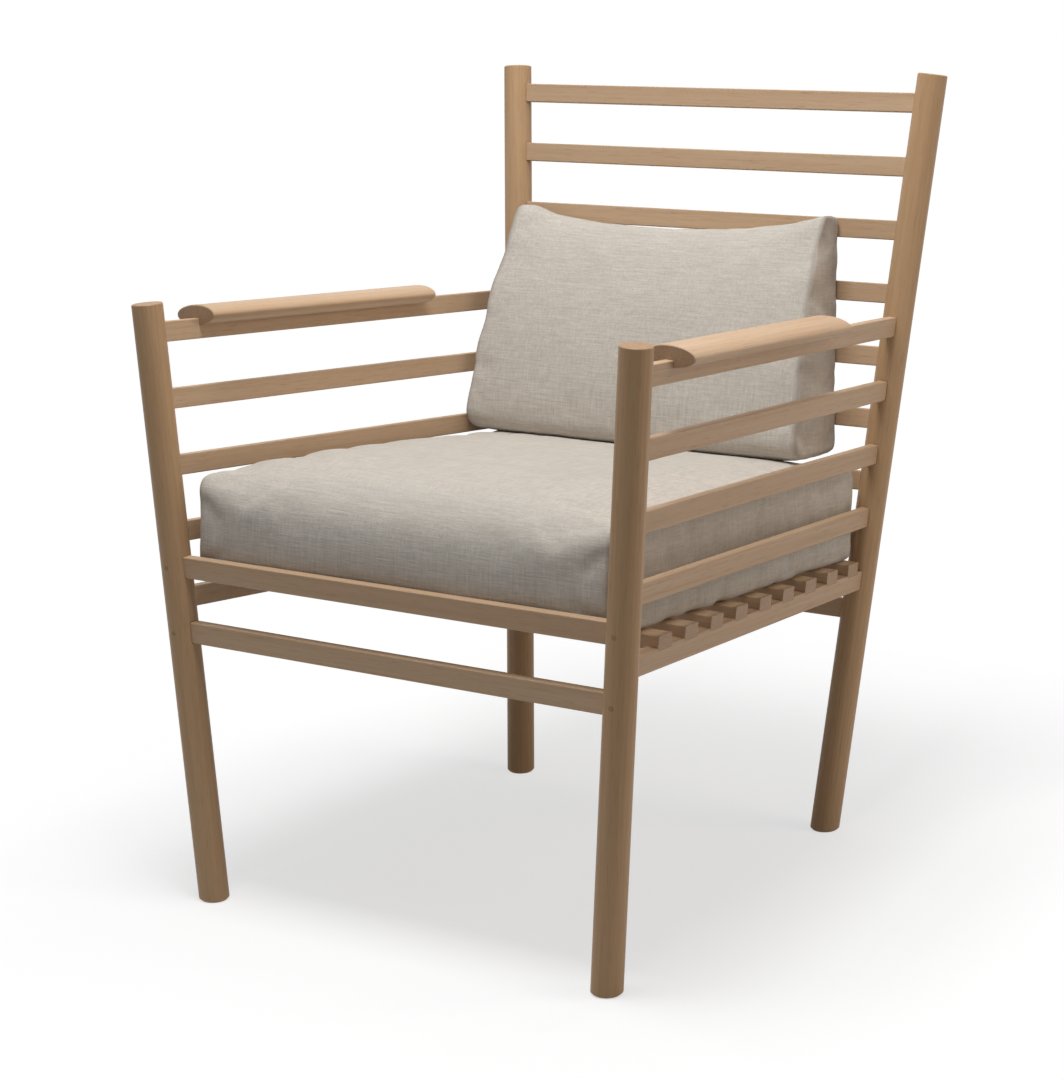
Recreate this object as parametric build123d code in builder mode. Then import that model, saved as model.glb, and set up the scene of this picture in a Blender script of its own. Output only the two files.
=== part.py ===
from build123d import *
import os
from math import radians, sqrt, tan

# A slatted lounge armchair: four round posts, thin horizontal slats let into them on three
# sides, a slatted seat, two grooved arm pads and two loose cushions.
# Lengths are millimetres and angles are degrees. +Z is up, the front faces -Y.
# The origin is on the floor, under the centre of the chair's box.

# Posts
leg_radius = 16.75
leg_top_chamfer = 1.0
leg_foot_chamfer = 2.5
front_foot_half_spread = 257.0
front_leg_height = 658.5
front_leg_splay = 4.15
back_foot_half_spread = 214.5
back_leg_height = 860.0
back_leg_splay = 4.42
back_leg_rake = 8.65
foot_spacing = 536.0

# Slats and rails between the posts
slat_height = 22.0
slat_thickness = 10.0
rail_height = 23.0
rail_thickness = 12.0
seat_rail_thickness = 14.0
edge_chamfer = 0.8
tenon_past_axis = 6.0
joint_clearance = 0.1

# Heights are taken on the axis of the post that a member starts from
side_rail_height = 340.0
side_slat_top_inset = 31.3
side_slat_count = 4
side_fall = 45.5
back_slat_rise = 39.5
back_slat_top_inset = 31.8
back_slat_count = 8
back_stretcher_drop = 37.0

# Seat slats lie across the side rails, let into their top edges
seat_slat_count = 9
seat_slat_width = 28.0
seat_slat_thickness = 15.0
seat_slat_pitch = 58.2
seat_slat_first = 75.8
seat_notch_depth = 3.0

# Arm pads ride astride the top side slats
pad_width = 56.0
pad_height = 22.0
pad_length = 369.0
pad_setback = 68.0
pad_lap = 7.5
pad_edge_chamfer = 1.0

# Pegs that lock the tenons of the front rail and stretcher
peg_radius = 2.5
peg_past_tenon = 5.0

# Cushions: both are sewn from a wrapped panel between two flat sides, and swell between them
soft_clearance = 0.3
side_seam_fullness_share = 0.05
cushion_section_shares = (-1.0, -0.8, -0.4, 0.4, 0.8, 1.0)
cushion_side_bulge = 1.5
cushion_side_inset = 9.0

seat_cushion_setback = 7.0
seat_cushion_back_setback = 20.0
seat_cushion_front_gap = 20.0
seat_cushion_back_gap = 3.5
seat_cushion_thickness = 111.0
seat_cushion_crest = 20.0
seat_cushion_crest_share = 0.24
seat_cushion_rear_press = 4.0
seat_cushion_front_swell = 4.0
seat_cushion_seam_radius = 12.0
seat_cushion_shoulder_radius = 40.0
seat_cushion_back_radius = 24.0
seat_cushion_lower_radius = 16.0

back_cushion_shift = -23.0
back_cushion_height = 268.0
back_cushion_tilt = 4.0
back_cushion_low_half_width = 219.5
back_cushion_top_half_width = 201.5
back_cushion_flare = 7.0
back_cushion_left_draw = 12.5
back_cushion_sag = 19.0
back_cushion_depth = 112.0
back_cushion_seam_swell = 13.5
back_cushion_middle_swell = 22.0
back_cushion_tip = 40.0
back_cushion_corner_round = 6.0
back_cushion_middle_round = 14.0
back_cushion_corner_lift = 6.0
back_cushion_toe_radius = 24.0
back_cushion_heel_radius = 12.0

os.makedirs("parts", exist_ok=True)

right_way = Vector(1, 0, 0)
sides = {"left": -1, "right": 1}

# The back posts reach furthest back, so they set how far the front feet stand from the origin
back_lean = Vector(tan(radians(back_leg_splay)), tan(radians(back_leg_rake)), 1).normalized()
rearmost = (
    foot_spacing
    + back_leg_height * tan(radians(back_leg_rake))
    - leg_top_chamfer * back_lean.Y
    + leg_radius * sqrt(1 - back_lean.Y**2)
)
front_foot_y = (leg_radius - rearmost) / 2
back_foot_y = front_foot_y + foot_spacing

front_post = (front_foot_half_spread, front_foot_y, front_leg_splay, 0)
back_post = (back_foot_half_spread, back_foot_y, back_leg_splay, back_leg_rake)


def on_post(post, side, height):
    """The point of a post's axis at a height above the floor."""
    half_spread, foot_y, splay, rake = post
    across = half_spread + height * tan(radians(splay))
    return Vector(side * across, foot_y + height * tan(radians(rake)), height)


def lean_of(post, side):
    """The direction in which a post rises; side 0 gives the lean that a pair shares."""
    splay, rake = post[2:]
    return Vector(side * tan(radians(splay)), tan(radians(rake)), 1).normalized()


def export(piece, name):
    """Labels a finished piece and writes it as its own STEP file."""
    piece.label = name
    export_step(piece, f"parts/{name}.step")


# Members: a straight bar from one post's axis to another's

class Member:
    """A bar whose broad side stands along `upright` and whose ends pass the posts' axes."""

    def __init__(self, start, end, upright, thickness, height):
        self.start = start
        self.end = end
        self.run = (end - start).normalized()
        self.across = upright.cross(self.run).normalized()
        self.thickness = thickness
        self.height = height

    def section_plane(self, distance):
        """The plane square to the bar, its Y axis up along the broad side."""
        return Plane(origin=self.start + self.run * distance, x_dir=self.across, z_dir=self.run)

    def solid(self):
        """The bar itself, its long edges eased."""
        with BuildPart() as bar:
            with BuildSketch(self.section_plane(-tenon_past_axis)) as outline:
                Rectangle(self.thickness, self.height)
                chamfer(outline.vertices(), edge_chamfer)
            extrude(amount=(self.end - self.start).length + 2 * tenon_past_axis)
        return bar.part

    def mortise(self):
        """The square-cornered space that the bar needs in what it enters."""
        reach = tenon_past_axis + joint_clearance
        with BuildPart() as space:
            with BuildSketch(self.section_plane(-reach)):
                Rectangle(self.thickness + 2 * joint_clearance, self.height + 2 * joint_clearance)
            extrude(amount=(self.end - self.start).length + 2 * reach)
        return space.part


def side_member(side, height, thickness):
    """A member from a front post back to the back post, falling towards the back."""
    start = on_post(front_post, side, height)
    end = on_post(back_post, side, height - side_fall)
    return Member(start, end, lean_of(front_post, side), thickness, slat_height)


def cross_member(post, height, thickness, bar_height):
    """A level member from the left post of a pair to the right one."""
    ends = [on_post(post, side, height) for side in sides.values()]
    return Member(*ends, lean_of(post, 0), thickness, bar_height)


side_slat_pitch = (front_leg_height - side_slat_top_inset - side_rail_height) / side_slat_count

# The front members lie half a pitch above and below the side rails, so their tenons stay clear
front_rail_height = side_rail_height + side_slat_pitch / 2
front_stretcher_height = side_rail_height - side_slat_pitch / 2

# The back members are set out from the back ends of the side rails
side_rail_back_height = side_rail_height - side_fall
back_slat_lowest = side_rail_back_height + back_slat_rise
back_slat_pitch = (back_leg_height - back_slat_top_inset - back_slat_lowest) / (back_slat_count - 1)
back_stretcher_height = side_rail_back_height - back_stretcher_drop

side_rails = {}
side_slats = {}
for side_name, side in sides.items():
    side_rails[side_name] = side_member(side, side_rail_height, seat_rail_thickness)
    for level in range(1, side_slat_count + 1):
        height = side_rail_height + level * side_slat_pitch
        side_slats[side_name, level] = side_member(side, height, slat_thickness)

front_rail = cross_member(front_post, front_rail_height, rail_thickness, rail_height)
front_stretcher = cross_member(front_post, front_stretcher_height, rail_thickness, rail_height)
back_stretcher = cross_member(back_post, back_stretcher_height, rail_thickness, slat_height)
back_slats = [
    cross_member(back_post, back_slat_lowest + level * back_slat_pitch, slat_thickness, slat_height)
    for level in range(back_slat_count)
]


# Tenon pegs, driven from the front through the posts and the tenons behind them

peg_length = leg_radius + rail_thickness / 2 + peg_past_tenon
peg_heights = (front_stretcher_height, front_rail_height)


def pegs(growth=0):
    """The four pegs, or the holes that they need with some clearance."""
    with BuildPart() as group:
        for side in sides.values():
            for height in peg_heights:
                face = on_post(front_post, side, height) - Vector(0, leg_radius, 0)
                with BuildSketch(Plane(origin=face, z_dir=(0, 1, 0))):
                    Circle(peg_radius + growth)
        extrude(amount=peg_length + growth)
    return group.part


tenon_pegs = pegs()
peg_holes = pegs(joint_clearance)
export(tenon_pegs, "tenon_pegs")


# Posts, each with a blind mortise for every member that ends in it

def post_solid(post, side, height, tenons):
    """A round post cut flat at the floor and square at the top."""
    lean = lean_of(post, side)
    foot = on_post(post, side, 0)
    length = (on_post(post, side, height) - foot).length
    with BuildPart() as leg:
        with BuildSketch(Plane(origin=foot - lean * leg_radius, z_dir=lean)):
            Circle(leg_radius)
        extrude(amount=length + leg_radius)
        chamfer(leg.edges().group_by(Axis.Z)[-1], leg_top_chamfer)
        split(bisect_by=Plane.XY, keep=Keep.TOP)
        chamfer(leg.edges().group_by(Axis.Z)[0], leg_foot_chamfer)
        for tenon in tenons:
            add(tenon.mortise(), mode=Mode.SUBTRACT)
        add(peg_holes, mode=Mode.SUBTRACT)
    return leg.part


for side_name, side in sides.items():
    side_tenons = [side_rails[side_name]]
    side_tenons += [side_slats[side_name, level] for level in range(1, side_slat_count + 1)]
    front_tenons = side_tenons + [front_rail, front_stretcher]
    back_tenons = side_tenons + back_slats + [back_stretcher]
    export(post_solid(front_post, side, front_leg_height, front_tenons), f"front_leg_{side_name}")
    export(post_solid(back_post, side, back_leg_height, back_tenons), f"back_leg_{side_name}")


# Slats and stretchers

for (side_name, level), slat in side_slats.items():
    export(slat.solid(), f"side_slat_{side_name}_{level}")

for level, slat in enumerate(back_slats, 1):
    export(slat.solid(), f"back_slat_{level}")

export(back_stretcher.solid(), "back_stretcher")

for name, member in {"front_rail": front_rail, "front_stretcher": front_stretcher}.items():
    with BuildPart() as pegged:
        add(member.solid())
        add(peg_holes, mode=Mode.SUBTRACT)
    export(pegged.part, name)


# The seat lies in a plane that holds the X direction and falls with the side rails

seat_fall = side_rails["right"].end - side_rails["right"].start
seat_length = Vector(0, seat_fall.Y, seat_fall.Z).length
seat_way = Vector(0, seat_fall.Y, seat_fall.Z).normalized()
seat_up = right_way.cross(seat_way)
rail_line = Vector(0, front_foot_y, side_rail_height)
slat_underside = slat_height / 2 - seat_notch_depth
seat_surface = slat_underside + seat_slat_thickness


def seat_point(distance, rise):
    """A point on the chair's centre plane, along and above the side rails' middle line."""
    return rail_line + seat_way * distance + seat_up * rise


def seat_slat_plane(index):
    """The chair's centre plane at the middle of a seat slat's section."""
    distance = seat_slat_first + index * seat_slat_pitch
    centre = seat_point(distance, slat_underside + seat_slat_thickness / 2)
    return Plane(origin=centre, x_dir=seat_way, z_dir=right_way)


seat_slat_stock_reach = on_post(front_post, 1, front_leg_height).X

for index in range(seat_slat_count):
    with BuildPart() as seat_slat:
        with BuildSketch(seat_slat_plane(index)) as outline:
            Rectangle(seat_slat_width, seat_slat_thickness)
            chamfer(outline.vertices(), edge_chamfer)
        extrude(amount=seat_slat_stock_reach, both=True)
        for side_name, side in sides.items():
            rail = side_rails[side_name]
            outward = rail.across * -side
            outer_face = rail.start + outward * (seat_rail_thickness / 2)
            split(bisect_by=Plane(origin=outer_face, z_dir=outward), keep=Keep.BOTTOM)
    export(seat_slat.part, f"seat_slat_{index + 1}")

for side_name, rail in side_rails.items():
    with BuildPart() as notched_rail:
        add(rail.solid())
        for index in range(seat_slat_count):
            with BuildSketch(seat_slat_plane(index)):
                notch_width = seat_slat_width + 2 * joint_clearance
                Rectangle(notch_width, seat_slat_thickness + 2 * joint_clearance)
        extrude(amount=seat_slat_stock_reach, both=True, mode=Mode.SUBTRACT)
    export(notched_rail.part, f"side_rail_{side_name}")


# Arm pads: an oval section, square at both ends, grooved to sit over the top slat

for side_name in sides:
    carrier = side_slats[side_name, side_slat_count]
    rise = slat_height / 2 - pad_lap + pad_height / 2
    with BuildPart() as arm_pad:
        with BuildSketch(carrier.section_plane(pad_setback)):
            with Locations((0, rise)):
                Ellipse(pad_width / 2, pad_height / 2)
        extrude(amount=pad_length)
        end_edges = arm_pad.edges().filter_by(GeomType.ELLIPSE)
        chamfer(end_edges, pad_edge_chamfer)
        add(carrier.mortise(), mode=Mode.SUBTRACT)
    export(arm_pad.part, f"arm_pad_{side_name}")


# Cushions: lofts across the chair, through the outlines that lie between the two sewn sides

def between(first, last, share):
    """The value at a share of the way from the first to the last."""
    return first + share * (last - first)


def fullness_at(side_share):
    """How far a cushion swells: all of it in the middle, next to nothing at the side seams."""
    return 1 - (1 - side_seam_fullness_share) * side_share**6


def cushion_solid(outline_at):
    """A smooth loft from side to side, with a shallow bulge on each of the two sewn sides."""
    outlines = [outline_at(share) for share in cushion_section_shares]
    with BuildPart() as cushion:
        loft(outlines)
        for share in (-1, 1):
            loft([outline_at(share), outline_at(share, cushion_side_bulge, cushion_side_inset)], ruled=True)
    return cushion.part


seat_rest = seat_surface + soft_clearance
beside_seat = side_slats["right", 1]
seat_cushion_front_half_width = beside_seat.start.X - slat_thickness / 2 - seat_cushion_front_gap
seat_cushion_back_half_width = beside_seat.end.X - slat_thickness / 2 - seat_cushion_back_gap


def seat_outline(share, outward=0, inset=0):
    """The seat cushion's outline, its front at zero; 0 is the middle and 1 the right seam."""
    full = fullness_at(share)
    side = share * outward
    front = seat_point(seat_cushion_setback, seat_rest)
    front += right_way * (share * seat_cushion_front_half_width + side)
    back = seat_point(seat_length - seat_cushion_back_setback, seat_rest)
    back += right_way * (share * seat_cushion_back_half_width + side)
    way = (back - front).normalized()
    low = inset
    high = seat_cushion_thickness - inset
    near = inset
    far = (back - front).length - inset
    lower = seat_cushion_lower_radius
    upper = seat_cushion_back_radius
    shoulder = between(seat_cushion_seam_radius, seat_cushion_shoulder_radius, full)
    with BuildSketch(Plane(origin=front, x_dir=way, z_dir=way.cross(seat_up))) as outline:
        with BuildLine():
            Line((near + lower, low), (far - lower, low))
            TangentArc((far - lower, low), (far, low + lower), tangent=(1, 0))
            Line((far, low + lower), (far, high - upper))
            TangentArc(
                (far, high - upper), (far - upper, high - full * seat_cushion_rear_press), tangent=(0, 1)
            )
            crest = (between(near, far, seat_cushion_crest_share), high + full * seat_cushion_crest)
            TangentArc(crest, (far - upper, high - full * seat_cushion_rear_press), tangent=(1, 0))
            fall = TangentArc(crest, (near + shoulder, high), tangent=(-1, 0))
            TangentArc(fall @ 1, (near, high - shoulder), tangent=fall % 1)
            swell = (near - full * seat_cushion_front_swell, (low + high) / 2)
            ThreePointArc((near, high - shoulder), swell, (near, low + lower))
            TangentArc((near, low + lower), (near + lower, low), tangent=(0, -1))
        make_face()
    return outline.sketch


seat_cushion = cushion_solid(seat_outline)
export(seat_cushion, "seat_cushion")

# The back cushion leans flat against the back slats, thin side up, and stands a little to the
# left, where its rear edge is drawn in beside the post. It is made above the seat cushion, its
# foot level with it, and then let down until it stands on it.
back_up = lean_of(back_post, 0)
back_forward = right_way.cross(back_up)
back_rest = slat_thickness / 2 + soft_clearance
back_line = Vector(back_cushion_shift, back_foot_y, 0) + back_forward * back_rest
seat_top = seat_point(seat_length, seat_rest + seat_cushion_thickness + seat_cushion_crest)
foot_rise = (seat_top - back_line).dot(back_up)
foot_slope = seat_way.dot(back_up) / seat_way.dot(back_forward)


def back_outline(share, outward=0, inset=0):
    """The back cushion's outline, the slats at zero; 0 is the middle and 1 the right seam."""
    full = fullness_at(share)
    side = share * outward
    foot = back_line + back_up * foot_rise
    foot += right_way * (share * back_cushion_low_half_width + side)
    head = back_line + back_up * (foot_rise + back_cushion_height)
    head += right_way * (share * back_cushion_top_half_width + side) + back_up * (share * back_cushion_tilt)
    rise_way = (head - foot).normalized()
    depth_way = back_forward * back_cushion_depth + right_way * (share * back_cushion_flare)
    depth_way = depth_way.normalized()
    rear = inset
    if share < 0:
        rear += (1 - full) * back_cushion_left_draw
    front = back_cushion_depth - inset
    tip = rear + back_cushion_tip
    rounding = between(back_cushion_corner_round, back_cushion_middle_round, full)
    top = (head - foot).length - (1 - share**2) * back_cushion_sag - inset
    toe = back_cushion_toe_radius
    heel = back_cushion_heel_radius
    low = inset + (1 - full) * back_cushion_corner_lift
    front_foot = low + foot_slope * front
    toe_foot = low + foot_slope * (front - toe)
    heel_foot = low + foot_slope * (rear + heel)
    swell = between(back_cushion_seam_swell, back_cushion_middle_swell, full)
    with BuildSketch(Plane(origin=foot, x_dir=depth_way, z_dir=depth_way.cross(rise_way))) as outline:
        with BuildLine():
            Line((rear, low + heel), (rear, top - rounding))
            ThreePointArc((rear, top - rounding), ((rear + tip) / 2, top), (tip, top - rounding))
            middle = ((tip + front) / 2 + swell, (front_foot + toe + top - rounding) / 2)
            ThreePointArc((tip, top - rounding), middle, (front, front_foot + toe))
            TangentArc((front, front_foot + toe), (front - toe, toe_foot), tangent=(0, -1))
            Line((front - toe, toe_foot), (rear + heel, heel_foot))
            TangentArc((rear + heel, heel_foot), (rear, low + heel), tangent=(-1, 0))
        make_face()
    return outline.sketch


back_cushion = cushion_solid(back_outline)
drop = back_cushion.distance_to(seat_cushion) - soft_clearance
export(back_cushion.moved(Location(back_up * -drop)), "back_cushion")
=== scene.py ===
from math import cos, pi, radians, sin, tan

import bpy
from mathutils import Matrix, Vector
from mathutils.bvhtree import BVHTree


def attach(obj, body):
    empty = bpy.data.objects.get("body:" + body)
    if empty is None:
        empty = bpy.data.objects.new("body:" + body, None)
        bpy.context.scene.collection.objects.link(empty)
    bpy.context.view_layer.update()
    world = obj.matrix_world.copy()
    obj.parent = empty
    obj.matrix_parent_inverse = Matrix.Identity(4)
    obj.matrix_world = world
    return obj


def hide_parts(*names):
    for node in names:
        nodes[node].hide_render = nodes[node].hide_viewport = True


# The chair's wood and linen, its two sewn cushions, and the studio they stand in.
# Lengths are metres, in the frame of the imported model: +Z up, the front faces -Y.

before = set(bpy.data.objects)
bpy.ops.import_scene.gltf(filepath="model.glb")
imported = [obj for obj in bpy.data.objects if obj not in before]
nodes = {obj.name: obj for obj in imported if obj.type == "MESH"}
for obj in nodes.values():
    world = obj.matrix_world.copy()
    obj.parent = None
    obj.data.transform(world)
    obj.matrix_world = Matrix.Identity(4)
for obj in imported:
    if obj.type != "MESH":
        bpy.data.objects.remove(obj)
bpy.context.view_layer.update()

# The chair's own geometry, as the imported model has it
front_foot_y = -0.33325
back_foot_y = front_foot_y + 0.536
front_foot_x = 0.257
back_foot_x = 0.2145
front_splay = radians(4.15)
back_splay = radians(4.42)
back_rake = radians(8.65)
side_fall = 0.0455
side_rail_height = 0.340
seat_rise = 0.0233
slat_half_thickness = 0.005
middle_slat_height = side_rail_height + 0.14
cushion_gap = 0.0003
bedding_gap = 0.0004

across = Vector((1, 0, 0))
back_up = Vector((0, tan(back_rake), 1)).normalized()
back_forward = across.cross(back_up)
seat_run = back_foot_y - front_foot_y + (side_rail_height - side_fall) * tan(back_rake)
seat_way = Vector((0, seat_run, -side_fall)).normalized()
seat_up = across.cross(seat_way)
seat_line = Vector((0, front_foot_y, side_rail_height)) + seat_up * seat_rise
back_line = Vector((0, back_foot_y, 0)) + back_forward * (slat_half_thickness + cushion_gap)


def clamp(value, low, high):
    return max(low, min(high, value))


def blend_between(first, last, share):
    return first + (last - first) * share


# Node helpers

def new_material(name):
    material = bpy.data.materials.new(name)
    material.use_nodes = True
    tree = material.node_tree
    tree.nodes.clear()
    return material, tree


def node(tree, kind, inputs=None, **settings):
    """A shader node with its settings, each input given a value or linked from a socket."""
    made = tree.nodes.new(kind)
    for key, value in settings.items():
        setattr(made, key, value)
    for key, value in (inputs or {}).items():
        if isinstance(value, bpy.types.NodeSocket):
            tree.links.new(value, made.inputs[key])
        else:
            made.inputs[key].default_value = value
    return made


def calculate(tree, operation, first, second=0.0):
    return node(tree, "ShaderNodeMath", {0: first, 1: second}, operation=operation).outputs[0]


def stretched_noise(tree, coordinates, scales, detail, roughness=0.5):
    """Noise that is stretched by its own scale along each axis."""
    scaled = node(tree, "ShaderNodeVectorMath", {0: coordinates, 1: scales}, operation="MULTIPLY")
    noise = node(
        tree,
        "ShaderNodeTexNoise",
        {"Vector": scaled.outputs[0], "Scale": 1.0, "Detail": detail, "Roughness": roughness},
    )
    return noise.outputs["Fac"]


def mixed_colour(tree, factor, first, second):
    mix = node(tree, "ShaderNodeMix", data_type="RGBA")
    for socket, value in zip((mix.inputs[0], mix.inputs[6], mix.inputs[7]), (factor, first, second)):
        if isinstance(value, bpy.types.NodeSocket):
            tree.links.new(value, socket)
        else:
            socket.default_value = value
    return mix.outputs[2]


def remapped(tree, value, low, high):
    """0 below low, 1 above high, straight in between."""
    ramp = node(tree, "ShaderNodeMapRange", {0: value, 1: low, 2: high}, clamp=True)
    return ramp.outputs[0]


# Wood: pale ash with straight grain that runs along each piece

# The posts' tones are darker and warmer than the slats': painted shade, standing in for the shade on the
# posts
shaded_post_tones = ((0.530, 0.345, 0.195, 1), (0.430, 0.262, 0.135, 1))
slat_tones = ((0.590, 0.415, 0.272, 1), (0.495, 0.328, 0.198, 1))
pore_wood = (0.290, 0.170, 0.090, 1)
end_wood = (0.230, 0.130, 0.070, 1)

# Cycles of the grain per metre: twice across the grain, then along it
board_grain = (7, 7, 0.8)
band_grain = (38, 38, 1.6)
streak_grain = (300, 300, 5)
pore_grain = (1100, 1100, 38)
end_grain = (1500, 1500, 1500)

# The part of each noise's range over which it takes effect, and how much it then counts
band_range = (0.38, 0.66)
band_weight = 0.55
streak_range = (0.40, 0.70)
streak_weight = 0.50
pore_range = (0.60, 0.74)
pore_weight = 0.45
board_range = (0.35, 0.65)
board_weight = 0.30
speckle_range = (0.35, 0.65)
end_weight = 0.75
polish_range = (0.3, 0.7)

end_facing = (0.86, 0.96)
wood_roughness = (0.42, 0.55)
wood_specular = 0.30
streak_relief = 0.6
pore_relief = 0.5
grain_bump = (0.20, 0.0006)
eased_edge = 0.0011

# Shifts of the grain in metres, mirrored for the left, so that no two posts look the same
front_post_shift = 0.31
back_post_shift = 0.47
side_shift = 0.23


def wood(name, way, tones, offset=0.0):
    """Ash whose grain follows `way`; the end grain, where a face is square to it, is darker."""
    pale_wood, warm_wood = tones
    material, tree = new_material(name)
    place = node(tree, "ShaderNodeTexCoord")
    turn = way.rotation_difference(Vector((0, 0, 1))).to_euler()
    along = node(
        tree,
        "ShaderNodeMapping",
        {"Vector": place.outputs["Object"], "Rotation": turn, "Location": (offset, offset, offset)},
    ).outputs[0]
    bands = stretched_noise(tree, along, band_grain, detail=3.0)
    streaks = stretched_noise(tree, along, streak_grain, detail=3.0, roughness=0.6)
    pores = stretched_noise(tree, along, pore_grain, detail=1.0)
    board = stretched_noise(tree, along, board_grain, detail=1.0)

    band_part = calculate(tree, "MULTIPLY", remapped(tree, bands, *band_range), band_weight)
    streak_part = calculate(tree, "MULTIPLY", remapped(tree, streaks, *streak_range), streak_weight)
    colour = mixed_colour(tree, calculate(tree, "ADD", band_part, streak_part), pale_wood, warm_wood)
    pore_part = calculate(tree, "MULTIPLY", remapped(tree, pores, *pore_range), pore_weight)
    colour = mixed_colour(tree, pore_part, colour, pore_wood)
    board_part = calculate(tree, "MULTIPLY", remapped(tree, board, *board_range), board_weight)
    colour = mixed_colour(tree, board_part, colour, warm_wood)

    facing = node(
        tree,
        "ShaderNodeVectorMath",
        {0: place.outputs["Normal"], 1: way},
        operation="DOT_PRODUCT",
    ).outputs["Value"]
    end_part = remapped(tree, calculate(tree, "ABSOLUTE", facing), *end_facing)
    end_speckle = stretched_noise(tree, along, end_grain, detail=1.0)
    end_colour = mixed_colour(tree, remapped(tree, end_speckle, *speckle_range), end_wood, warm_wood)
    colour = mixed_colour(tree, calculate(tree, "MULTIPLY", end_part, end_weight), colour, end_colour)

    low, high = polish_range
    smoothest, roughest = wood_roughness
    rough = node(
        tree, "ShaderNodeMapRange", {0: streaks, 1: low, 2: high, 3: smoothest, 4: roughest}
    ).outputs[0]
    streak_height = calculate(tree, "MULTIPLY", streaks, streak_relief)
    height = calculate(tree, "ADD", streak_height, calculate(tree, "MULTIPLY", pores, pore_relief))
    soft_edges = node(tree, "ShaderNodeBevel", {"Radius": eased_edge}, samples=6)
    strength, depth = grain_bump
    bump = node(
        tree,
        "ShaderNodeBump",
        {"Strength": strength, "Distance": depth, "Height": height, "Normal": soft_edges.outputs[0]},
    )
    shader = node(
        tree,
        "ShaderNodeBsdfPrincipled",
        {
            "Base Color": colour,
            "Roughness": rough,
            "Normal": bump.outputs[0],
            "Specular IOR Level": wood_specular,
        },
    )
    node(tree, "ShaderNodeOutputMaterial", {"Surface": shader.outputs[0]})
    return material


def dress(name, material):
    """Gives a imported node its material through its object's slots; the mesh stays as it is."""
    for slot in nodes[name].material_slots:
        slot.link = "OBJECT"
        slot.material = material


for side_name, side in {"left": -1, "right": 1}.items():
    front_way = Vector((side * tan(front_splay), 0, 1)).normalized()
    back_way = Vector((side * tan(back_splay), tan(back_rake), 1)).normalized()
    high = middle_slat_height
    low = high - side_fall
    start = Vector((side * (front_foot_x + high * tan(front_splay)), front_foot_y, high))
    end = Vector((side * (back_foot_x + low * tan(back_splay)), back_foot_y + low * tan(back_rake), low))
    side_way = (end - start).normalized()
    # The posts take the darker tones: painted shade
    front_wood = wood(f"ash_front_post_{side_name}", front_way, shaded_post_tones, front_post_shift * side)
    dress(f"front_leg_{side_name}", front_wood)
    back_wood = wood(f"ash_back_post_{side_name}", back_way, shaded_post_tones, back_post_shift * side)
    dress(f"back_leg_{side_name}", back_wood)
    side_wood = wood(f"ash_side_{side_name}", side_way, slat_tones, side_shift * side)
    dress(f"side_rail_{side_name}", side_wood)
    dress(f"arm_pad_{side_name}", side_wood)
    for number in range(1, 5):
        dress(f"side_slat_{side_name}_{number}", side_wood)

cross_wood = wood("ash_cross", across, slat_tones)
for name in nodes:
    if name.startswith(("back_slat", "seat_slat", "front_rail", "front_stretcher", "back_stretcher")):
        dress(name, cross_wood)
# The peg ends take the posts' darker tones too: painted shade
dress("tenon_pegs", wood("ash_peg_ends", Vector((0, 1, 0)), shaded_post_tones))


# Linen: three sets of irregular threads, each faded out where it would run into the surface

pale_linen = (0.645, 0.598, 0.537, 1)
grey_linen = (0.500, 0.458, 0.403, 1)
# Painted shade for the sewn seams' grooves
painted_seam_shade = (0.280, 0.245, 0.205, 1)

# Cycles per metre: across a thread, then along it
fine_thread = (800.0, 75.0)
thick_thread = (420.0, 28.0)
blotch_scales = (14, 14, 14)

fine_weight = 0.55
thick_weight = 0.45
weave_range = (-0.20, 0.20)
blotch_range = (0.35, 0.70)
blotch_weight = 0.14
painted_seam_shade_weight = 0.55
weave_bump = (0.40, 0.0005)
back_linen_shift = 0.37


def thread_scales(thread, axis):
    """The scales of a thread's noise, drawn out along the axis that the thread runs along."""
    return [thread[1] if way == axis else thread[0] for way in range(3)]


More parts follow.
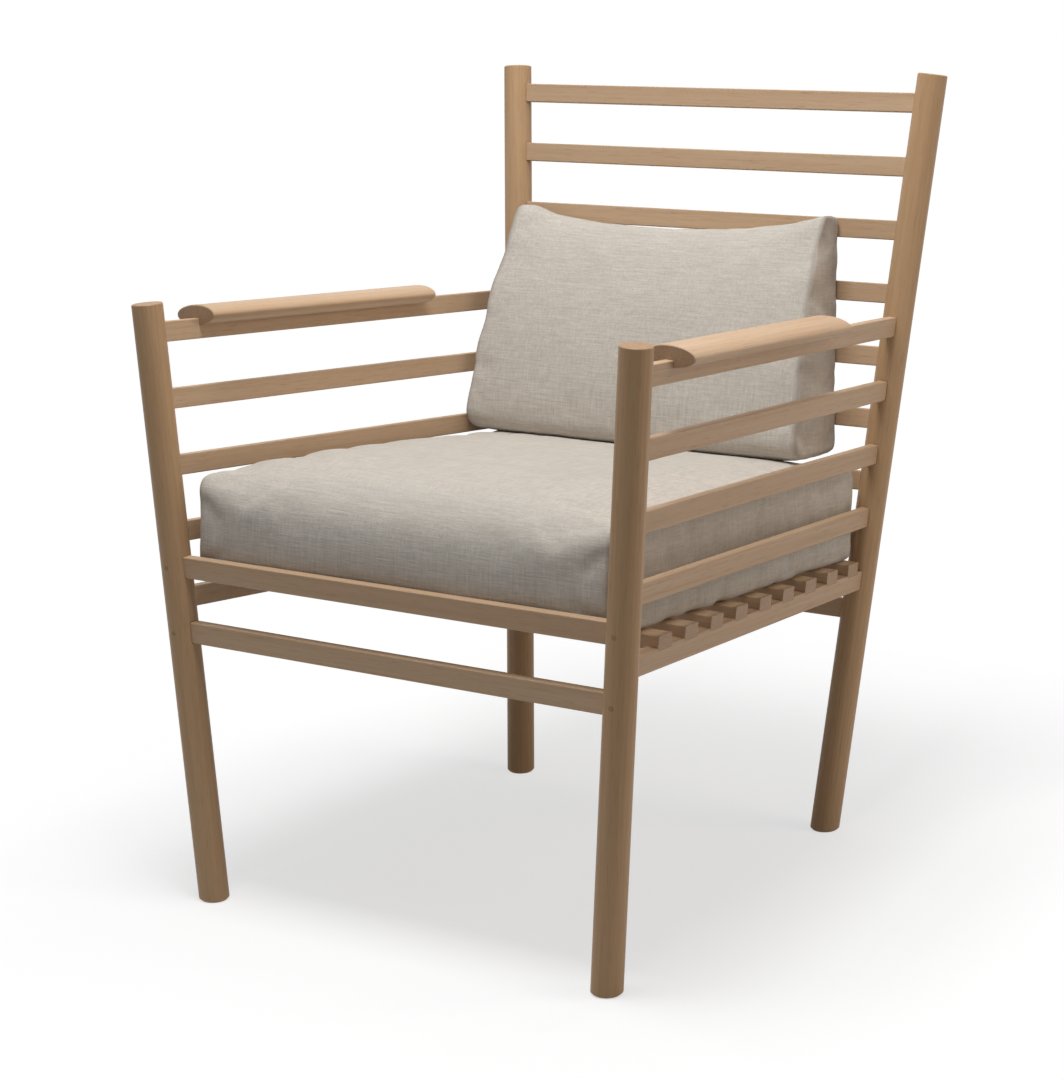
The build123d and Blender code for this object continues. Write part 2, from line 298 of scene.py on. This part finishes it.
def linen(name, up, offset=0.0):
    """A plain weave of undyed linen, its threads laid out along X, `up` and the third way."""
    material, tree = new_material(name)
    place = node(tree, "ShaderNodeTexCoord")
    turn = up.rotation_difference(Vector((0, 0, 1))).to_euler()
    laid = node(
        tree,
        "ShaderNodeMapping",
        {"Vector": place.outputs["Object"], "Rotation": turn, "Location": (offset, offset, offset)},
    ).outputs[0]
    facing = node(
        tree,
        "ShaderNodeMapping",
        {"Vector": place.outputs["Normal"], "Rotation": turn},
        vector_type="NORMAL",
    ).outputs[0]
    faces = node(tree, "ShaderNodeSeparateXYZ", {0: facing}).outputs
    total = None
    for axis in range(3):
        fine = stretched_noise(tree, laid, thread_scales(fine_thread, axis), detail=2.0, roughness=0.65)
        thick = stretched_noise(tree, laid, thread_scales(thick_thread, axis), detail=1.0)
        fine_part = calculate(tree, "MULTIPLY", fine, fine_weight)
        thread = calculate(tree, "ADD", fine_part, calculate(tree, "MULTIPLY", thick, thick_weight))
        faced = calculate(tree, "MULTIPLY", faces[axis], faces[axis])
        shown = calculate(tree, "SUBTRACT", 1.0, faced)
        part = calculate(tree, "MULTIPLY", calculate(tree, "SUBTRACT", thread, 0.5), shown)
        total = part if total is None else calculate(tree, "ADD", total, part)
    weave = remapped(tree, total, *weave_range)
    blotches = stretched_noise(tree, laid, blotch_scales, detail=3.0)
    colour = mixed_colour(tree, weave, grey_linen, pale_linen)
    blotch_part = calculate(tree, "MULTIPLY", remapped(tree, blotches, *blotch_range), blotch_weight)
    colour = mixed_colour(tree, blotch_part, colour, grey_linen)
    # Painted shade: the linen is darkened along the sewn seams, where they are drawn in
    seam = node(tree, "ShaderNodeAttribute", attribute_name="seam").outputs["Fac"]
    colour = mixed_colour(tree, calculate(tree, "MULTIPLY", seam, painted_seam_shade_weight), colour, painted_seam_shade)
    strength, depth = weave_bump
    bump = node(tree, "ShaderNodeBump", {"Strength": strength, "Distance": depth, "Height": weave})
    shader = node(
        tree,
        "ShaderNodeBsdfPrincipled",
        {
            "Base Color": colour,
            "Roughness": 0.92,
            "Normal": bump.outputs[0],
            "Specular IOR Level": 0.15,
            "Sheen Weight": 0.18,
            "Sheen Roughness": 0.55,
        },
    )
    node(tree, "ShaderNodeOutputMaterial", {"Surface": shader.outputs[0]})
    return material


# Cushions: a net of cloth, laid over each sewn form and then filled by the simulation

side_seam_fullness = 0.10
fullness_power = 6
seam_depth = 0.0010

# The filling: how hard and how long it is blown in, and how the broad swelling is told from puckers
filling_pressure = 3.0
filling_frames = 16
evening_rounds = 24
evening_strength = 0.7
seat_pucker_limit = 0.0035
back_pucker_limit = 0.0025


def fullness_at(side):
    """How far a cushion swells: all of it in the middle, next to nothing at the side seams."""
    return 1 - (1 - side_seam_fullness) * side**fullness_power


class Rounded:
    """Maps the rim of a unit square onto an outline whose four corners are rounded."""

    def __init__(self, width, height, radii):
        self.width = width
        self.height = height
        self.radii = radii

    def place(self, u, v):
        """Where a point of the square comes to lie; each radius belongs to one (far, high) corner."""
        x = u * self.width
        y = v * self.height
        for far in (0, 1):
            for high in (0, 1):
                radius = self.radii[far, high]
                corner = Vector((self.width * far, self.height * high))
                centre = corner + Vector((radius * (1 - 2 * far), radius * (1 - 2 * high)))
                arm = Vector((x, y)) - centre
                outside = arm.x * (2 * far - 1) > 0 and arm.y * (2 * high - 1) > 0
                if outside and arm.length > 0:
                    x, y = centre + arm * (radius / arm.length) * (max(abs(arm.x), abs(arm.y)) / radius)
        return x, y


class CushionNet:
    """The skin of a box of counts[0] x counts[1] x counts[2] cells, placed by a function."""

    def __init__(self, name, counts, place):
        self.counts = counts
        self.index = {}
        self.keys = []
        points = []
        nu, nv, nw = counts
        for i in range(nu + 1):
            for j in range(nv + 1):
                for k in range(nw + 1):
                    if i in (0, nu) or j in (0, nv) or k in (0, nw):
                        self.index[i, j, k] = len(points)
                        self.keys.append((i, j, k))
                        points.append(place(i / nu, j / nv, k / nw))
        faces = []
        for i in range(nu):
            for j in range(nv):
                faces.append(self.quad((i, j, 0), (i, j + 1, 0), (i + 1, j + 1, 0), (i + 1, j, 0)))
                faces.append(self.quad((i, j, nw), (i + 1, j, nw), (i + 1, j + 1, nw), (i, j + 1, nw)))
            for k in range(nw):
                faces.append(self.quad((i, 0, k), (i + 1, 0, k), (i + 1, 0, k + 1), (i, 0, k + 1)))
                faces.append(self.quad((i, nv, k), (i, nv, k + 1), (i + 1, nv, k + 1), (i + 1, nv, k)))
        for j in range(nv):
            for k in range(nw):
                faces.append(self.quad((0, j, k), (0, j, k + 1), (0, j + 1, k + 1), (0, j + 1, k)))
                faces.append(self.quad((nu, j, k), (nu, j + 1, k), (nu, j + 1, k + 1), (nu, j, k + 1)))
        mesh = bpy.data.meshes.new(name)
        mesh.from_pydata(points, [], faces)
        mesh.update()
        self.object = bpy.data.objects.new(name, mesh)
        bpy.context.scene.collection.objects.link(self.object)

    def quad(self, *corners):
        return [self.index[corner] for corner in corners]

    def on_seam(self, key):
        """Both side panels are sewn in all the way round."""
        i, j, k = key
        nu, nv, nw = self.counts
        return i in (0, nu) and (j in (0, nv) or k in (0, nw))

    def points(self):
        return [v.co.copy() for v in self.object.data.vertices]

    def move_to(self, points):
        for vertex, point in zip(self.object.data.vertices, points):
            vertex.co = point
        self.object.data.update()

    def group(self, name, weights):
        made = self.object.vertex_groups.new(name=name)
        for number, weight in enumerate(weights):
            made.add([number], weight, "REPLACE")

    def fill(self, farthest):
        """Fills the net as cloth whose seams are a little short, which puckers the linen beside them.

        Only the puckers are kept, each point within a distance of the form that the net was laid over.
        """
        before = self.points()
        self.group("short", [1.0 if self.on_seam(key) else 0.0 for key in self.keys])
        cloth = self.object.modifiers.new("Cloth", "CLOTH")
        settings = cloth.settings
        settings.quality = 6
        settings.mass = 0.3
        settings.tension_stiffness = 40
        settings.compression_stiffness = 40
        settings.shear_stiffness = 12
        settings.bending_stiffness = 0.4
        settings.use_pressure = True
        settings.uniform_pressure_force = filling_pressure
        settings.vertex_group_shrink = "short"
        settings.shrink_min = -0.010
        settings.shrink_max = 0.050
        settings.effector_weights.gravity = 0
        cloth.collision_settings.use_collision = False
        scene = bpy.context.scene
        for number in range(1, filling_frames + 1):
            scene.frame_set(number)
        graph = bpy.context.evaluated_depsgraph_get()
        blown = self.object.evaluated_get(graph).to_mesh()
        after = [v.co.copy() for v in blown.vertices]
        self.object.modifiers.remove(cloth)
        scene.frame_set(1)
        steps = [new - old for old, new in zip(before, after)]
        puckers = [step - broad for step, broad in zip(steps, self.evened(steps))]
        self.move_to([
            old + pucker * (farthest / (farthest + pucker.length)) for old, pucker in zip(before, puckers)
        ])

    def evened(self, vectors):
        """Each point's vector, moved towards its neighbours' mean; a seam is evened along itself."""
        sewn = [self.on_seam(key) for key in self.keys]
        neighbours = [[] for _ in self.keys]
        for edge in self.object.data.edges:
            first, last = edge.vertices
            for here, there in ((first, last), (last, first)):
                if sewn[there] or not sewn[here]:
                    neighbours[here].append(there)
        for _ in range(evening_rounds):
            vectors = [
                vector.lerp(sum((vectors[n] for n in near), Vector()) / len(near), evening_strength)
                for vector, near in zip(vectors, neighbours)
            ]
        return vectors

    def draw_seams(self):
        """Draws the sewn lines in, and marks them for the material's painted shade along the seams."""
        mesh = self.object.data
        marks = mesh.attributes.new("seam", "FLOAT", "POINT")
        normals = [v.normal.copy() for v in mesh.vertices]
        for number, key in enumerate(self.keys):
            if self.on_seam(key):
                mesh.vertices[number].co -= normals[number] * seam_depth
                marks.data[number].value = 1.0
        mesh.update()

    def finish(self, material, body, cad_node):
        smooth = self.object.modifiers.new("Subdivision", "SUBSURF")
        smooth.levels = 1
        smooth.render_levels = 1
        self.object.data.materials.append(material)
        for polygon in self.object.data.polygons:
            polygon.use_smooth = True
        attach(self.object, body)
        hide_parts(cad_node)


# Seat cushion: its front runs over a round shoulder, and its rear is pressed down

seat_front = 0.0070
seat_back = 0.5626
seat_front_half = 0.2620
seat_back_half = 0.2345
seat_thickness = 0.1110
seat_crest = 0.0200
seat_crest_share = 0.24
seat_rear_press = 0.0040
seat_front_swell = 0.0040
seat_shoulder = (0.0120, 0.0400)
seat_lower_radius = 0.0140
seat_back_radius = 0.0220
seat_cells = (72, 76, 16)


def seat_place(u, v, w):
    """A point of the net, u across, v from the front to the back and w from the slats up."""
    side = 2 * u - 1
    full = fullness_at(side)
    shoulder = blend_between(*seat_shoulder, full)
    length = seat_back - seat_front
    lower = seat_lower_radius
    radii = {(0, 0): lower, (0, 1): shoulder, (1, 0): lower, (1, 1): seat_back_radius}
    along, above = Rounded(length, seat_thickness, radii).place(v, w)
    share = along / length
    if share < seat_crest_share:
        rise = seat_crest * (1 - (1 - share / seat_crest_share) ** 2)
    else:
        past = (share - seat_crest_share) / (1 - seat_crest_share)
        rise = seat_crest - (seat_crest + seat_rear_press) * past**2
    above += full * rise * (above / seat_thickness) ** 2
    along -= full * seat_front_swell * sin(pi * w) * (1 - v)
    half = blend_between(seat_front_half, seat_back_half, along / length)
    return from_seat(half * side, seat_front + along, above)


def in_seat(point):
    """A point as (across, along the seat, above the slats)."""
    offset = point - seat_line
    return offset.x, offset.dot(seat_way), offset.dot(seat_up)


def from_seat(x, along, above):
    return seat_line + Vector((x, 0, 0)) + seat_way * along + seat_up * above


# The room that the seat cushion has, measured along the seat and across it
rail_face = 0.0047
rail_lean = 0.078
back_slat_line = 0.5665
side_slat_length = 0.5826
side_slat_reach = (0.2800, 0.2375)


def fit_seat(points):
    """Keeps the filled cushion clear of the slats under it, the rail before it and the sides."""
    fitted = []
    for point in points:
        x, along, above = in_seat(point)
        room = blend_between(*side_slat_reach, clamp(along / side_slat_length, 0, 1))
        x = clamp(x, -room, room)
        above = max(above, bedding_gap)
        along = clamp(along, rail_face - above * rail_lean, back_slat_line)
        fitted.append(from_seat(x, along, above))
    return fitted


seat_net = CushionNet("seat_cushion_cover", seat_cells, seat_place)
seat_net.fill(seat_pucker_limit)
seat_net.move_to(fit_seat(seat_net.points()))


# Back cushion: thick at its foot, thin and sagging between its corners at the top

back_shift = -0.0230
back_foot_rise = 0.4340
back_top_rise = 0.6985
back_tilt = 0.0040
back_low_half = 0.2200
back_top_half = 0.2020
back_flare = 0.0070
back_left_draw = 0.0125
back_sag = 0.0160
back_depth = 0.1120
back_tip = 0.0400
back_swell = (0.0135, 0.0220)
back_corner_lift = 0.0060
back_ears = (0.0085, 0.0055)
back_ear_power = 10
back_foot_slope = -0.0730
back_heel_radius = 0.0120
back_toe_radius = 0.0240
back_tip_radii = (0.0100, 0.0120)
back_cells = (60, 38, 14)


def back_place(u, v, w):
    """A point of the net, u across, v up the back and w forward from the back slats."""
    side = 2 * u - 1
    full = fullness_at(side)
    ear = back_ears[0] if side < 0 else back_ears[1]
    height = back_top_rise - back_foot_rise + side * back_tilt - back_sag * (1 - side**2)
    height += ear * side**back_ear_power
    tip_rear, tip_front = back_tip_radii
    radii = {(0, 0): back_heel_radius, (1, 0): back_toe_radius, (0, 1): tip_rear, (1, 1): tip_front}
    depth, rise = Rounded(back_depth, height, radii).place(w, v)
    share = rise / height
    rear = back_left_draw * (1 - full) if side < 0 else 0.0
    front = blend_between(back_depth, back_tip + rear, share)
    front += 4 * share * (1 - share) * blend_between(*back_swell, full)
    depth = rear + depth / back_depth * (front - rear)
    foot = back_foot_rise + ((1 - full) * back_corner_lift + back_foot_slope * depth) * (1 - share)
    half = blend_between(back_low_half, back_top_half, share) + back_flare * depth / back_depth
    return from_back(back_shift + half * side, foot + rise, bedding_gap + depth)


def in_back(point):
    """A point as (across, up the back, forward of the back slats)."""
    offset = point - back_line
    return offset.x, offset.dot(back_up), offset.dot(back_forward)


def from_back(x, rise, depth):
    return back_line + Vector((x, 0, 0)) + back_up * rise + back_forward * depth


# The inner faces of the left side slats, from the back slats forward
left_slat_side = -0.2430
left_slat_flare = -0.0715


def fit_back(points):
    """Keeps the filled cushion in front of the back slats, and off the left side slats."""
    fitted = []
    for point in points:
        x, rise, depth = in_back(point)
        depth = max(depth, bedding_gap)
        x = max(x, left_slat_side + left_slat_flare * depth)
        fitted.append(from_back(x, rise, depth))
    return fitted


back_net = CushionNet("back_cushion_cover", back_cells, back_place)
back_net.fill(back_pucker_limit)
back_net.move_to(fit_back(back_net.points()))

# The seat gives way under the back cushion's foot

press_from = 0.0600
press_gap = 0.0006
press_slope = 0.35
foot_front = 0.4600
foot_margin = 0.0120


def press_down(points):
    """Keeps the seat just under the foot, as a ray up from inside it finds it, and eases off all round."""
    faces = [polygon.vertices for polygon in back_net.object.data.polygons]
    foot = BVHTree.FromPolygons(back_net.points(), faces)
    foot_half = back_low_half - foot_margin
    pressed = []
    for point in points:
        x, along, above = in_seat(point)
        if above > press_from:
            under = clamp(x, back_shift - foot_half, back_shift + foot_half)
            start = from_seat(under, max(along, foot_front), press_from)
            distance = foot.ray_cast(start, seat_up)[3]
            if distance is not None:
                away = max(foot_front - along, abs(x - under), 0)
                above = min(above, press_from + distance - press_gap + away * press_slope)
        pressed.append(from_seat(x, along, above))
    return pressed


seat_net.move_to(press_down(seat_net.points()))

for net in (seat_net, back_net):
    net.draw_seams()
seat_net.finish(linen("linen_seat", seat_up), "seat_cushion", "seat_cushion")
back_net.finish(linen("linen_back", back_up, back_linen_shift), "back_cushion", "back_cushion")


# Studio: a pale floor that keeps the chair's shadow, white all round for the camera

white = (1.0, 1.0, 1.0)
warm = (1.0, 0.86, 0.72)
lamps = {
    "key": {
        "place": (0.08, -0.46, 2.41),
        "aim": (0.0, 0.15, 0.55),
        "size": (0.93, 0.78),
        "power": 35.0,
        "tone": white,
    },
    "overhead": {
        "place": (0.15, 0.70, 3.00),
        "aim": (0.0, 0.10, 0.0),
        "size": (1.25, 1.25),
        "power": 8.5,
        "tone": white,
    },
    "left_strip": {
        "place": (-1.7, -1.1, 1.0),
        "aim": (0.0, 0.0, 0.4),
        "size": (0.6, 1.4),
        "power": 0.9,
        "tone": white,
    },
    "right_fill": {
        "place": (1.8, 0.6, 1.2),
        "aim": (0.0, 0.0, 0.4),
        "size": (1.0, 1.4),
        "power": 9.0,
        "tone": warm,
    },
}
floor_tone = 0.68
seen_floor_tone = 0.46
floor_reach = 12.0
spare_white = 0.022
world_strength = 0.12


def seen_or_mirrored(tree):
    """1 for the rays that show the background itself: from the camera, mirrored or let through."""
    path = node(tree, "ShaderNodeLightPath").outputs
    indirect = calculate(tree, "MAXIMUM", path["Is Glossy Ray"], path["Is Transmission Ray"])
    return calculate(tree, "MAXIMUM", path["Is Camera Ray"], indirect)


def lamp_level(tree, place, lamp):
    """The light that a lamp puts on the bare floor at a place, taken as a point that shines one way."""
    way = (Vector(lamp["aim"]) - Vector(lamp["place"])).normalized()
    ray = node(tree, "ShaderNodeVectorMath", {0: place, 1: lamp["place"]}, operation="SUBTRACT").outputs[0]
    length = node(tree, "ShaderNodeVectorMath", {0: ray}, operation="LENGTH").outputs["Value"]
    along = node(tree, "ShaderNodeVectorMath", {0: ray, 1: way}, operation="DOT_PRODUCT").outputs["Value"]
    strength = seen_floor_tone * lamp["power"] / pi**2 * lamp["place"][2]
    facing = calculate(tree, "MULTIPLY", calculate(tree, "MAXIMUM", along, 0.0), strength)
    level = calculate(tree, "DIVIDE", facing, calculate(tree, "POWER", length, 4.0))
    return node(tree, "ShaderNodeVectorMath", {0: lamp["tone"], 3: level}, operation="SCALE").outputs[0]


def grey(tone):
    return (tone, tone, tone, 1)


def studio_floor():
    """White wherever the lamps reach it: whatever they leave short of white, the glow adds."""
    mesh = bpy.data.meshes.new("floor")
    near, far = -floor_reach, floor_reach
    mesh.from_pydata([(near, near, 0), (far, near, 0), (far, far, 0), (near, far, 0)], [], [(0, 1, 2, 3)])
    floor = bpy.data.objects.new("floor", mesh)
    bpy.context.scene.collection.objects.link(floor)
    material, tree = new_material("studio_floor")
    bounced = node(tree, "ShaderNodeBsdfDiffuse", {"Color": grey(floor_tone)})
    surface = node(tree, "ShaderNodeBsdfDiffuse", {"Color": grey(seen_floor_tone)})
    place = node(tree, "ShaderNodeTexCoord").outputs["Object"]
    short = (1.0 + spare_white - seen_floor_tone * world_strength,) * 3
    for lamp in lamps.values():
        given = lamp_level(tree, place, lamp)
        short = node(tree, "ShaderNodeVectorMath", {0: short, 1: given}, operation="SUBTRACT").outputs[0]
    glow = node(tree, "ShaderNodeEmission", {"Color": short})
    lit = node(tree, "ShaderNodeAddShader", {0: surface.outputs[0], 1: glow.outputs[0]})
    chosen = node(
        tree, "ShaderNodeMixShader", {0: seen_or_mirrored(tree), 1: bounced.outputs[0], 2: lit.outputs[0]}
    )
    node(tree, "ShaderNodeOutputMaterial", {"Surface": chosen.outputs[0]})
    mesh.materials.append(material)


def studio_world():
    world = bpy.data.worlds.new("studio")
    world.use_nodes = True
    tree = world.node_tree
    tree.nodes.clear()
    seen = seen_or_mirrored(tree)
    level = node(tree, "ShaderNodeMapRange", {0: seen, 3: world_strength, 4: 1.0}).outputs[0]
    background = node(tree, "ShaderNodeBackground", {"Color": (1, 1, 1, 1), "Strength": level})
    node(tree, "ShaderNodeOutputWorld", {"Surface": background.outputs[0]})
    bpy.context.scene.world = world


def area_light(name, place, aim, size, power, tone):
    light = bpy.data.lights.new(name, "AREA")
    light.shape = "RECTANGLE"
    light.size, light.size_y = size
    light.energy = power
    light.color = tone
    lamp = bpy.data.objects.new(name, light)
    lamp.location = place
    lamp.rotation_euler = (Vector(aim) - Vector(place)).to_track_quat("-Z", "Y").to_euler()
    bpy.context.scene.collection.objects.link(lamp)


studio_floor()
studio_world()
for name, lamp in lamps.items():
    area_light(name, **lamp)


# Camera, at the photograph's place and angle

camera_place = Vector((1.64947, -2.46542, 1.08487))
camera_yaw = radians(34.56)
camera_pitch = radians(-13.63)
camera_roll = radians(-1.52)
focal_pixels = 2731.34
frame_height_pixels = 1080
sensor_height = 36.0

ahead = Vector((
    -sin(camera_yaw) * cos(camera_pitch),
    cos(camera_yaw) * cos(camera_pitch),
    sin(camera_pitch),
))
level_right = Vector((cos(camera_yaw), sin(camera_yaw), 0))
level_up = level_right.cross(ahead)
camera_right = level_right * cos(camera_roll) + level_up * sin(camera_roll)
camera_up = level_up * cos(camera_roll) - level_right * sin(camera_roll)

lens = bpy.data.cameras.new("camera")
lens.sensor_fit = "VERTICAL"
lens.sensor_height = sensor_height
lens.lens = focal_pixels / frame_height_pixels * sensor_height
camera = bpy.data.objects.new("camera", lens)
turned = Matrix((camera_right, camera_up, -ahead)).transposed().to_4x4()
camera.matrix_world = Matrix.Translation(camera_place) @ turned
bpy.context.scene.collection.objects.link(camera)
bpy.context.scene.camera = camera

bpy.context.scene.view_settings.view_transform = "Standard"
